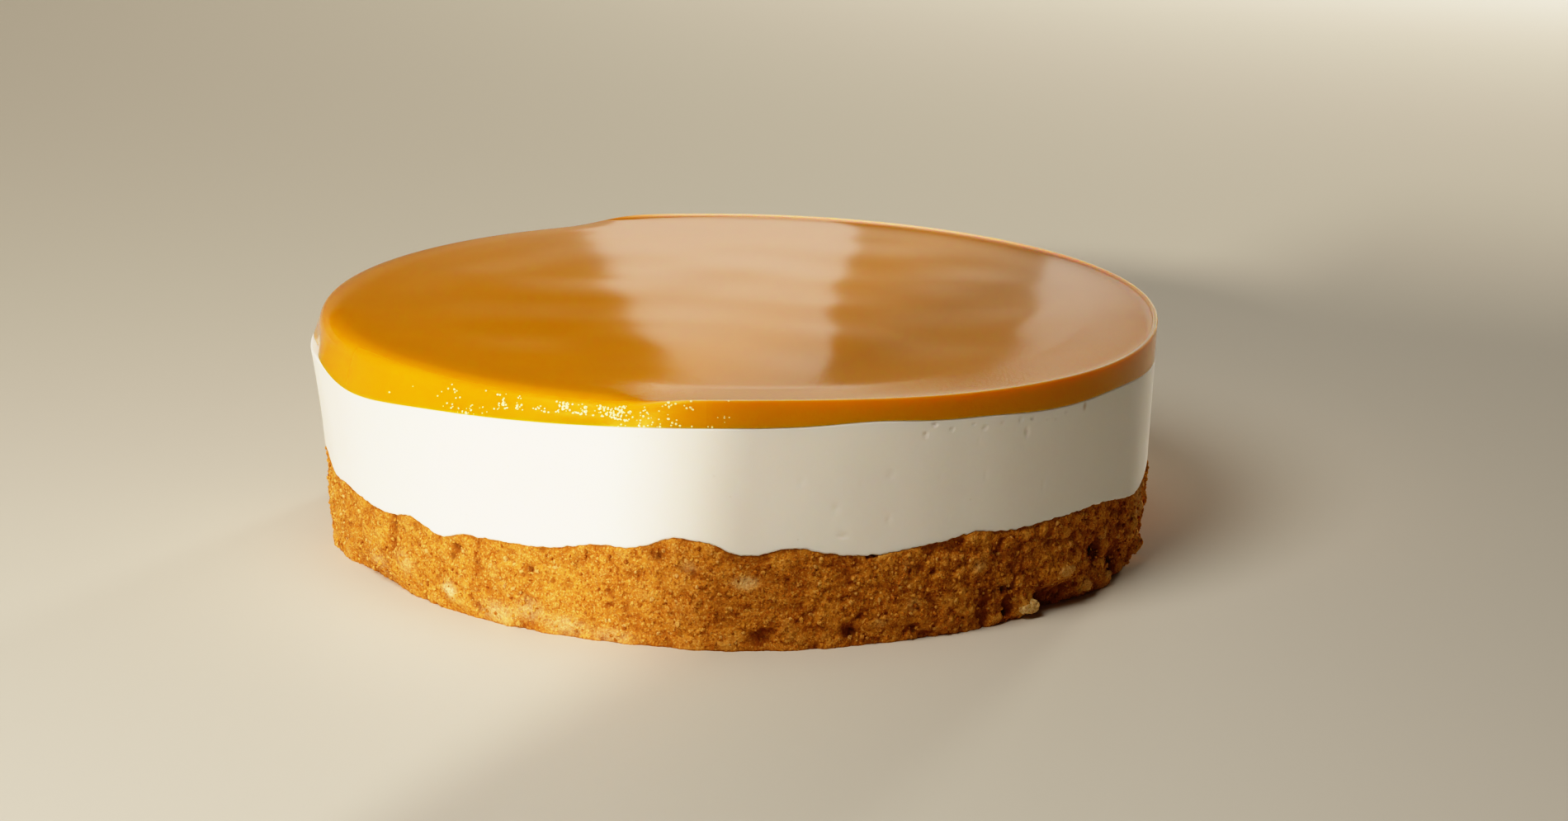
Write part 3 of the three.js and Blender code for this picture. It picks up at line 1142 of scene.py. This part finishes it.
class CakeColours(bpy.types.PropertyGroup):
    crumb_golden: colour("Golden crumb", (0.64, 0.265, 0.038), "Most of the crumb")
    crumb_toasted: colour("Toasted crumb", (0.36, 0.1, 0.01), "Browner patches")
    # Random pale flecks, and a painted highlight on the crumb's crowns
    crumb_flecks_and_crown_highlight: colour("Light crumb", (0.8, 0.45, 0.12), "Crowns of the grains")
    crumb_pale: colour("Pale crumb", (0.82, 0.58, 0.27), "Pale flecks and chunks")
    # Random deep specks, and painted shade in the crumb's hollows
    crumb_specks_and_pore_shade: colour("Deep crumb", (0.16, 0.034, 0.003), "Down in the pores")
    # Painted shade down in the cracks
    crumb_shade_in_cracks: colour("Crumb hole", (0.045, 0.012, 0.002), "Down in the cracks")
    cream: colour("Cream", (0.885, 0.83, 0.74), "The cream")
    cream_warm: colour("Warm cream", (0.875, 0.81, 0.705), "Its warmer clouds")
    # Painted shade down in the cream's bubbles
    cream_pit_shade: colour("Cream pits", (0.74, 0.66, 0.54), "Down in its bubbles")
    cream_speck: colour("Cream speck", (0.5, 0.36, 0.22), "A brown speck in it")
    topping: colour("Topping", (0.67, 0.26, 0.002), "The orange jelly")
    topping_deep: colour("Deep topping", (0.61, 0.23, 0.001), "Where it is deeper in colour")
    # Partly the paler colour of thin jelly, partly a painted highlight along the fin
    topping_fin_highlight: colour("Thin topping", (0.79, 0.62, 0.44), "The thin edge of its fin")
    # The beads' pale colour is a painted glint
    bead_glint: colour("Bead", (0.97, 0.78, 0.3), "The pale beads on its side")
    topping_sheen: colour("Topping sheen", (1.0, 0.75, 0.15), "Tint of what it mirrors head on")


class CakeStage(bpy.types.PropertyGroup):
    floor_radius: length("Floor radius", 14.0, "How far the floor reaches")
    floor_colour: colour("Floor", (0.67, 0.625, 0.53), "The pale floor")
    key_azimuth: number("Key azimuth", -24.0, "Where the key light stands, in degrees")
    key_height: number("Key height", 14.0, "Degrees above the horizon")
    key_strength: number("Key strength", 4.6, "Strength of the key light")
    key_spread: degrees("Key spread", 3.6, "Width of the key light in the sky")
    key_colour: colour("Key colour", (1.0, 0.9, 0.75), "Colour of the key light")
    shade_from: number("Shade from", -9.2, "Azimuth right of which the cake is in the shade")
    blind_distance: length("Blind distance", 0.45, "From the cake to the blind that makes the shade")
    blind_lean: length("Blind lean", 0.022, "How far right the blind's head is of its foot")
    blind_width: length("Blind width", 1.2, "Width of the blind")
    blind_height: length("Blind height", 0.22, "Height of the blind")
    fill_azimuth: number("Fill azimuth", -32.0, "Where the fill light stands, in degrees")
    fill_height: number("Fill height", 50.0, "Degrees above the horizon")
    fill_distance: length("Fill distance", 0.65, "From the cake to the fill light")
    fill_size: length("Fill size", 0.33, "Width of the fill light")
    fill_power: FloatProperty(
        name="Fill power", description="Power of the fill light", default=3.1, unit="POWER")
    fill_colour: colour("Fill colour", (1.0, 0.94, 0.86), "Colour of the fill light")
    rim_azimuth: number("Rim azimuth", 155.0, "Where the rim light stands, in degrees")
    rim_height: number("Rim height", 4.0, "Degrees above the horizon")
    rim_distance: length("Rim distance", 1.5, "From the cake to the rim light")
    rim_size: length("Rim size", 0.2, "Width of the rim light")
    rim_power: FloatProperty(
        name="Rim power", description="Power of the rim light", default=34.0, unit="POWER")
    rim_colour: colour("Rim colour", (1.0, 0.93, 0.82), "Colour of the rim light")
    panel_distance: length("Panel distance", 1.5, "How far behind the cake the soft panels stand")
    panel_strength: number("Panel strength", 1.22, "Brightness of the soft panels")
    panel_colour: colour("Panel colour", (1.0, 0.97, 0.92), "Colour of the soft panels")
    band_top: number("Band top", 0.24, "How high the pale band round the horizon reaches")
    band_colour: colour("Band colour", (0.68, 0.63, 0.54), "The pale band round the horizon")
    ceiling_colour: colour("Ceiling colour", (0.012, 0.0115, 0.011), "Above the band")
    camera_place: FloatVectorProperty(
        name="Camera place", description="Where the camera stands", size=3, precision=4,
        default=(0.8 * MM, -788.1 * MM, 234.7 * MM), subtype="TRANSLATION", unit="LENGTH")
    pan: degrees("Pan", 0.71, "The camera's turn to the right")
    pitch: degrees("Pitch", 14.85, "The camera's turn down")
    roll: degrees("Roll", 1.11, "The camera's tilt")
    lens: FloatProperty(name="Lens", description="Focal length", default=85.26, unit="CAMERA")


class CAKE_PT_panel(bpy.types.Panel):
    """Lists the steps that make the cake, and its sizes and colours"""

    bl_idname = "CAKE_PT_panel"
    bl_label = "Cheesecake"
    bl_space_type = "VIEW_3D"
    bl_region_type = "UI"
    bl_category = "Cheesecake"

    def draw(self, context):
        for step in STEPS:
            self.layout.operator(step.bl_idname)
        for group in (context.scene.cake_sizes, context.scene.cake_colours, context.scene.cake_stage):
            box = self.layout.box()
            for name in group.__annotations__:
                box.prop(group, name)


STEPS = (
    CAKE_OT_crumb, CAKE_OT_grains, CAKE_OT_chunks, CAKE_OT_cream, CAKE_OT_topping, CAKE_OT_beads,
    CAKE_OT_stage,
)
GROUPS = {"cake_sizes": CakeSizes, "cake_colours": CakeColours, "cake_stage": CakeStage}


def register():
    for made in (*GROUPS.values(), *STEPS, CAKE_PT_panel):
        bpy.utils.register_class(made)
    for name, group in GROUPS.items():
        setattr(bpy.types.Scene, name, PointerProperty(type=group))


def unregister():
    for name in GROUPS:
        delattr(bpy.types.Scene, name)
    for made in (CAKE_PT_panel, *reversed(STEPS), *GROUPS.values()):
        bpy.utils.unregister_class(made)


def main():
    register()
    bpy.ops.cake.crumb()
    bpy.ops.cake.grains()
    bpy.ops.cake.chunks()
    bpy.ops.cake.cream()
    bpy.ops.cake.topping()
    bpy.ops.cake.beads()
    bpy.ops.cake.stage()


if __name__ == "__main__":
    main()
